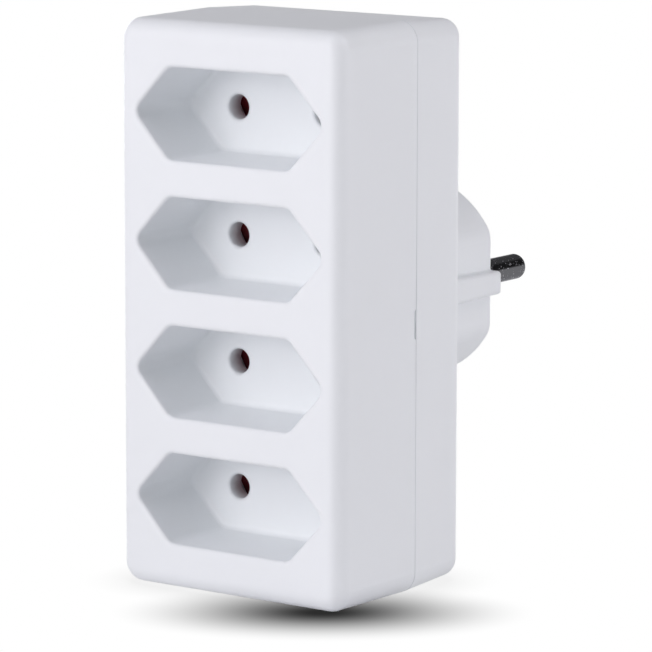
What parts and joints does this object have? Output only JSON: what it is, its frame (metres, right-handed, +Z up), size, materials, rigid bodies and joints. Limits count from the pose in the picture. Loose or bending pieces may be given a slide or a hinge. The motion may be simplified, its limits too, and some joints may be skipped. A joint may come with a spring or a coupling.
{
  "type": "multi socket adapter",
  "caption": "White plug-in mains adapter: an upright box with a column of shuttered hexagonal sockets for flat plugs on its front and a round plug with pins on its back.",
  "frame": {"origin": "bottom, in the middle of the width and of the overall depth from the front face to the pin tips", "axes": "+Z up along the column of sockets, +Y along the plug pins, +X to the right seen from the sockets"},
  "size_m": [0.0494, 0.0786, 0.1029],
  "materials": {
    "housing": "satin",
    "carrier": "matte",
    "shutters": "satin",
    "contacts": "satin",
    "pins": "polished",
    "springs": "satin",
    "screws": "satin"
  },
  "bodies": {
    "case": {"front_cover": "housing", "rear_cover": "housing", "contact_carrier": "carrier", "contact_rail_left": "contacts", "contact_rail_right": "contacts", "plug_pin_left": "pins", "plug_pin_right": "pins", "case_screws": "screws", "shutter_spring_1": "springs", "shutter_spring_2": "springs", "shutter_spring_3": "springs", "shutter_spring_4": "springs"},
    "shutter_1": {"shutter_1": "shutters"},
    "shutter_2": {"shutter_2": "shutters"},
    "shutter_3": {"shutter_3": "shutters"},
    "shutter_4": {"shutter_4": "shutters"}
  },
  "joints": [
    {"name": "shutter_1_slide", "type": "slide", "parent": "case", "child": "shutter_1", "axis": [0, 0, 1], "range_m": [0, 0.0054], "stiffness_N_per_m": 195, "springref_m": -0.002, "deforming": ["shutter_spring_1"]},
    {"name": "shutter_2_slide", "type": "slide", "parent": "case", "child": "shutter_2", "axis": [0, 0, 1], "range_m": [0, 0.0054], "stiffness_N_per_m": 195, "springref_m": -0.002, "deforming": ["shutter_spring_2"]},
    {"name": "shutter_3_slide", "type": "slide", "parent": "case", "child": "shutter_3", "axis": [0, 0, 1], "range_m": [0, 0.0054], "stiffness_N_per_m": 195, "springref_m": -0.002, "deforming": ["shutter_spring_3"]},
    {"name": "shutter_4_slide", "type": "slide", "parent": "case", "child": "shutter_4", "axis": [0, 0, 1], "range_m": [0, 0.0054], "stiffness_N_per_m": 195, "springref_m": -0.002, "deforming": ["shutter_spring_4"]}
  ]
}
